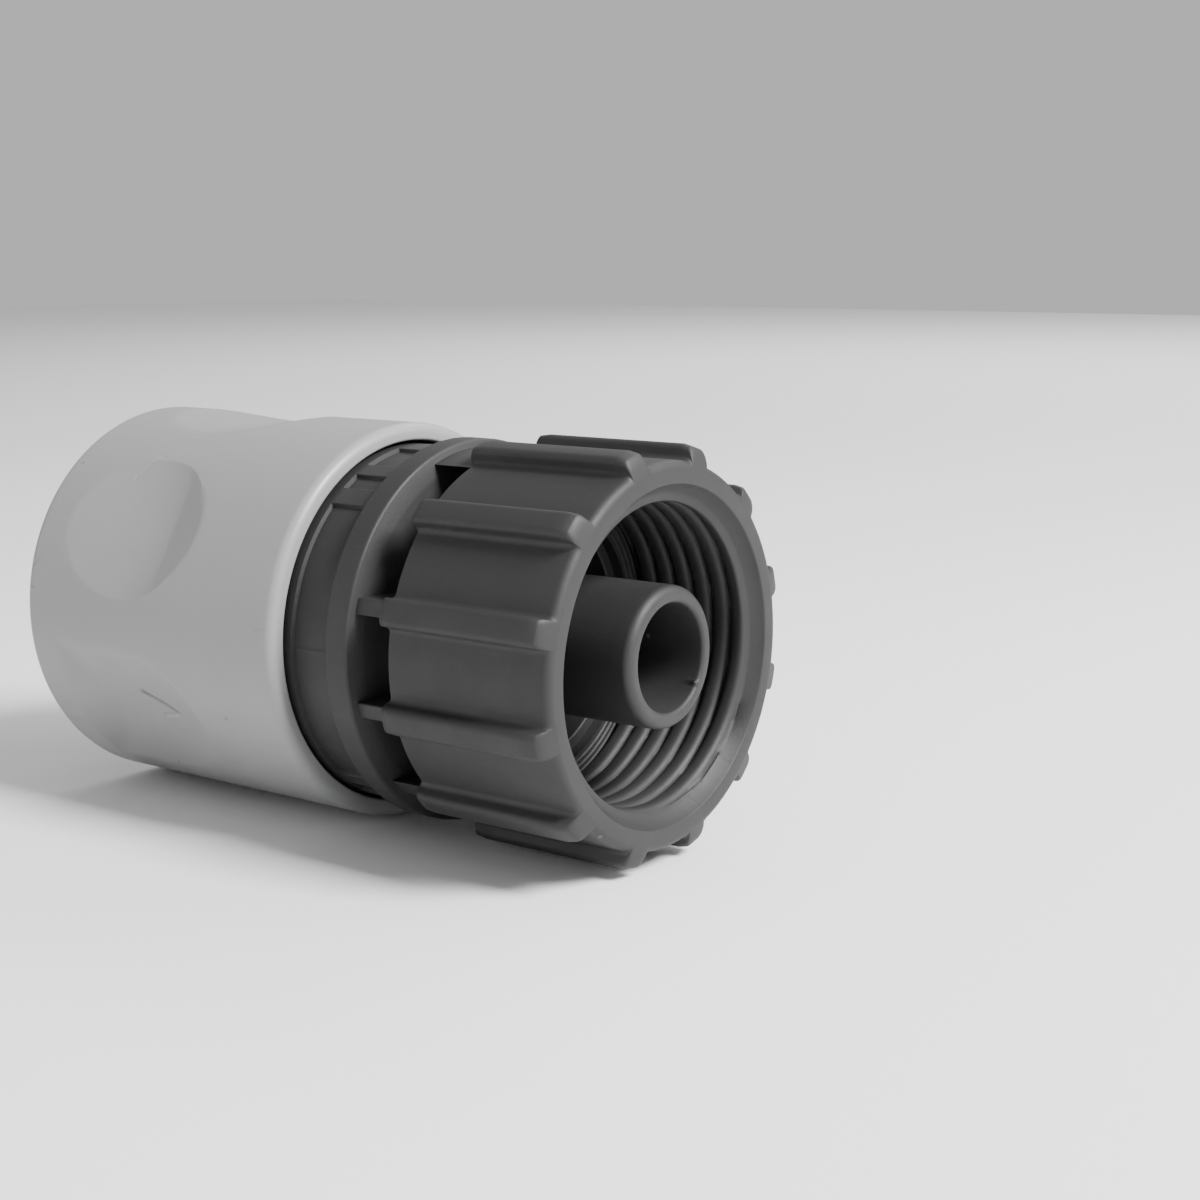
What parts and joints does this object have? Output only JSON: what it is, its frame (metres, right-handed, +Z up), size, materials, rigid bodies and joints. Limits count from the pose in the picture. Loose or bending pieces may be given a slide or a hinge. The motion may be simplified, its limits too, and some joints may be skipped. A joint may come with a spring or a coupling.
{
  "type": "quick disconnect hose coupling",
  "caption": "Plastic quick disconnect coupling with a ribbed threaded ring, an inner spigot and a spring-loaded dimpled release sleeve over locking claws.",
  "frame": {"origin": "centre of the threaded ring's mouth, on the coupling's axis", "axes": "+X along the axis, out of the threaded ring's mouth; -X towards the socket; +Z up with the coupling lying on its side"},
  "size_m": [0.0587, 0.0344, 0.0344],
  "materials": {
    "dark_plastic": "satin moulded",
    "grey_plastic": "semi-gloss moulded",
    "mouth_plastic": "satin moulded",
    "claw_plastic": "natural acetal",
    "spring_wire": "drawn stainless wire"
  },
  "bodies": {
    "core": {"body": "dark_plastic", "mouth_ring": "mouth_plastic", "return_spring": "spring_wire"},
    "sleeve": {"sleeve": "grey_plastic"},
    "claw_up": {"claw_1": "claw_plastic"},
    "claw_left": {"claw_2": "claw_plastic"},
    "claw_down": {"claw_3": "claw_plastic"},
    "claw_right": {"claw_4": "claw_plastic"}
  },
  "joints": [
    {"name": "sleeve_slide", "type": "slide", "parent": "core", "child": "sleeve", "axis": [1, 0, 0], "range_m": [0, 0.0044], "stiffness_N_per_m": 700, "springref_m": -0.008, "deforming": ["return_spring"]},
    {"name": "claw_up_slide", "type": "slide", "parent": "core", "child": "claw_up", "axis": [0, 0, 1], "range_m": [0, 0.0013]},
    {"name": "claw_left_slide", "type": "slide", "parent": "core", "child": "claw_left", "axis": [0, 1, 0], "range_m": [0, 0.0013]},
    {"name": "claw_down_slide", "type": "slide", "parent": "core", "child": "claw_down", "axis": [0, 0, -1], "range_m": [0, 0.0013]},
    {"name": "claw_right_slide", "type": "slide", "parent": "core", "child": "claw_right", "axis": [0, -1, 0], "range_m": [0, 0.0013]}
  ],
  "couplings": [
    {"joint": "claw_up_slide", "follows": "sleeve_slide", "ratio": 0.29545},
    {"joint": "claw_left_slide", "follows": "sleeve_slide", "ratio": 0.29545},
    {"joint": "claw_down_slide", "follows": "sleeve_slide", "ratio": 0.29545},
    {"joint": "claw_right_slide", "follows": "sleeve_slide", "ratio": 0.29545}
  ]
}
